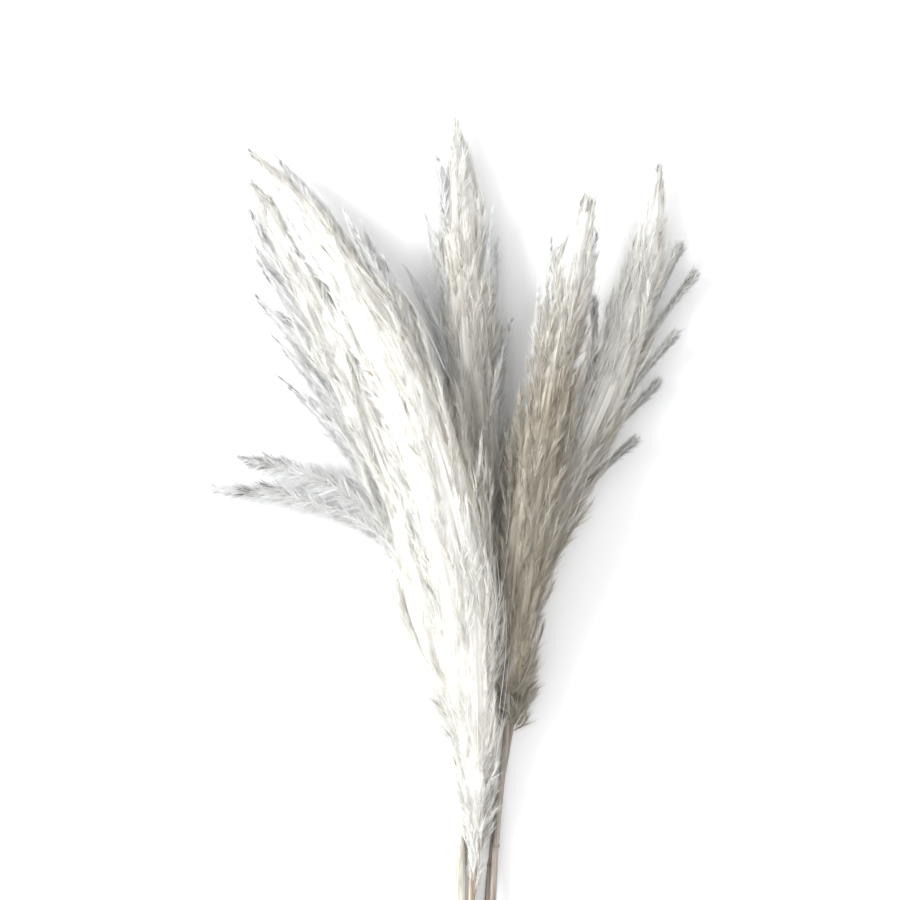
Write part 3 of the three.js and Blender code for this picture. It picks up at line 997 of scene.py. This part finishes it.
def curledHair(axis, random, t, steps=22):
    # leaves the left side of the head's foot and winds into a small open curl
    _, along, across, up, _ = axis.at(t)
    start = axis.around(t, math.pi, 1.1)
    size, winding = random.uniform(0.002, 0.0034), random.uniform(3.5, 6.5)
    reach, lean = random.uniform(0.004, 0.008), random.uniform(-1.2, 0.2)
    points = []
    for share in np.linspace(0.0, 1.0, steps):
        turn = winding * share**1.4
        ring = size * (1 - 0.45 * share) * share
        points.append(start - across * (reach * share + ring * math.sin(turn))
                      + along * (lean * reach * share + ring * (1 - math.cos(turn)))
                      + up * 0.001 * share)
    return np.array(points)


def makeHead(name, seed):
    axis, look, shape = axes[name], plumeLooks[name], headShape
    random = np.random.default_rng(seed)
    piece = Piece()
    headCore(piece, name, seed * 3.7)
    total = round(shape["branchesPerMetre"] * axis.length)
    lowReach, highReach = shape["reach"]
    for i in range(total):
        share = (i + 0.5) / total
        rootAt = shape["firstRoot"] + shape["rootSpan"] * share
        run = (shape["run"] - shape["runLess"] * share) * random.uniform(*shape["runChange"])
        run = min(run * min(1.0, 0.35 + 5 * share), 1.0 - rootAt)
        reach = random.uniform(lowReach, highReach)
        angle = i * goldenAngle + random.uniform(-0.3, 0.3)
        if math.sin(angle) < -0.5 and random.random() < shape["gapsBelow"]:
            continue
        points = branchLine(axis, rootAt, run, angle, reach, random)
        outer = (reach - lowReach) / (highReach - lowReach)
        # painted shade: inner branches, the plume's right side and its shaded lower parts take darker
        # tones
        tone = toneWithPaintedShadeAt(name, rootAt + 0.7 * run, angle) + shape["paintedInnerShade"] * outer - 0.07
        tone = clamped(tone + random.uniform(*shape["toneChange"]), shape["tones"])
        local = axis.at(rootAt + 0.7 * run)[4][0]
        widest = min(shape["brushWidest"], 0.5 * local + 0.0010)
        radii = brushRadii(len(points), widest, 0.25)
        mark = look["tipMark"] if rootAt + run > 0.985 else shape["marks"]
        marks = [0.0 if k < 9 else mark for k in range(len(points))]
        piece.addBranch(points, radii, tone, marks)
    for i in range(shape["footBranches"]):  # the short ones that close round the stalk
        rootAt = random.uniform(*shape["footRoot"])
        run = random.uniform(*shape["footRun"])
        reach = random.uniform(*shape["footReach"]) * look["footReach"]
        points = branchLine(axis, rootAt, run, i * goldenAngle, reach, random)
        wide = 0.45 * axis.at(rootAt + run)[4][0] + 0.0011
        tone = toneWithPaintedShadeAt(name, 0.0, i * goldenAngle) + random.uniform(-0.08, 0.05)
        tone = clamped(tone, shape["tones"])
        piece.addBranch(points, brushRadii(len(points), wide, 0.4), tone, [0.0] * len(points))
    for _ in range(shape["looseHairs"]):
        hair = looseHair(axis, random)
        tone = min(toneWithPaintedShadeAt(name, 0.5, 1.6) + random.uniform(0.15, 0.4), 0.95)
        piece.addHair(hair, shape["looseHairWidth"], tone)
    for k in range(look["curls"]):
        t = 0.03 + 0.3 * k / max(look["curls"] - 1, 1) + random.uniform(-0.02, 0.02)
        hair = curledHair(axis, random, t)
        piece.addHair(hair, shape["curlWidth"], random.uniform(0.05, 0.3))
    guide = piece.toObject(name + "_plume")
    settings = dict(shape["strands"], Seed=seed)
    settings["Strand spacing"] = look["spacing"]
    plume = growStrands(guide, settings, headFinish)
    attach(plume, "root")
    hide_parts(name + "_head")
    print(plume.name, len(plume.data.polygons), "faces")


def tasselRadius(share, wide, look, drooping):
    # how far the brush stands out: full at the root of a side tassel, at the outer third of a
    # drooping one, and blunt and round at the tip of a finger
    spindle = min(1.0, 0.25 + 3.5 * (1.0 - share))
    root = 1.5 - 0.8 * min(share / 0.6, 1.0)
    if look["fingers"]:
        spindle, root = 1.0, 0.95 - 0.5 * min(share / 0.5, 1.0)
        root += 0.6 * math.exp(-((share - 0.93) / 0.1) ** 2)
    if drooping:
        spindle, root = min(1.0, 0.4 + 5.0 * (1.0 - share)), 0.7 + 0.9 * min(share / 0.6, 1.0)
    return max(look["tasselFullness"] * wide * spindle * root, 0.0008)


def fingerPoint(axis, t, angle, side, isOuter):
    # a finger stays as thick to its end, which leans away from the head and turns up a little
    centre, _, across, up, _ = axis.at(t)
    apart = tasselShape["fingerApart"] * (0.5 + t**2) if isOuter else 0.0
    aside = tasselShape["fingerLean"] * t**2 - tasselShape["fingerHook"] * t**6
    lean = np.array((side * aside, 0.0, 0.0))
    return centre + apart * (across * math.cos(angle) + up * math.sin(angle)) + lean


def makeTassel(node, owner, seed):
    # a few brushy branches side by side that end one after the other
    axis, look, head = tasselAxis(node), plumeLooks[owner], axes[owner]
    random = np.random.default_rng(seed)
    piece = Piece()
    tip = axis.points[-1]
    nearest = int(np.linalg.norm(head.points - tip, axis=1).argmin())
    onRight = float((tip - head.points[nearest]) @ head.across[nearest]) > 0
    # painted shade: a tassel on the plume's right side takes the darker right-side tone
    tone = toneWithPaintedShadeAt(owner, nearest / (head.count - 1), 1.0 if onRight else 2.1) + look["tasselTone"]
    drooping = axis.points[-1][1] - axis.points[0][1] < 0.5 * axis.length
    shape = tasselShape
    sooner = shape["droopSooner"] if drooping else shape["sooner"]
    if look["fingers"]:
        sooner = shape["fingerSooner"]
    least = shape["leastFullWidth"] if drooping or look["fingers"] else shape["leastWidth"]
    for i in range(shape["branches"]):
        angle = i * goldenAngle + random.uniform(0, 1)
        end = 1.0 - sooner * i * random.uniform(0.5, 1.1)
        out = shape["branchOut"] * look["tasselFullness"] if i else 0.0
        points, radii, marks = [], [], []
        for share in np.linspace(0.0, 1.0, 16):
            t = end * share
            wide = max(axis.at(t)[4][0], least)
            if look["fingers"]:
                points.append(fingerPoint(axis, t, angle, 1 if onRight else -1, i > 0))
            else:
                points.append(axis.around(t, angle, out))
            radii.append(tasselRadius(share, wide, look, drooping))
            marks.append(look["tasselMarks"] if share > 0.8 else 0.0)
        limits = (0.05, 0.9 if drooping else 0.95)
        own = clamped(tone + random.uniform(-0.06, 0.04), limits)
        piece.addBranch(points, radii, own, marks)
    guide = piece.toObject(node + "_brush")
    settings = dict(shape["strands"], Seed=seed)
    if look["fingers"]:
        settings["Strand length"] = shape["fingerStrands"]
    tassel = growStrands(guide, settings, tasselFinish)
    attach(tassel, "root")
    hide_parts(node)


for order, name in enumerate(plumeNames):
    makeHead(name, order + 1)
for order, node in enumerate(tasselNodes):
    makeTassel(node, node.split("_tassel_")[0], order + 40)
print(len(tasselNodes), "tassels ready")
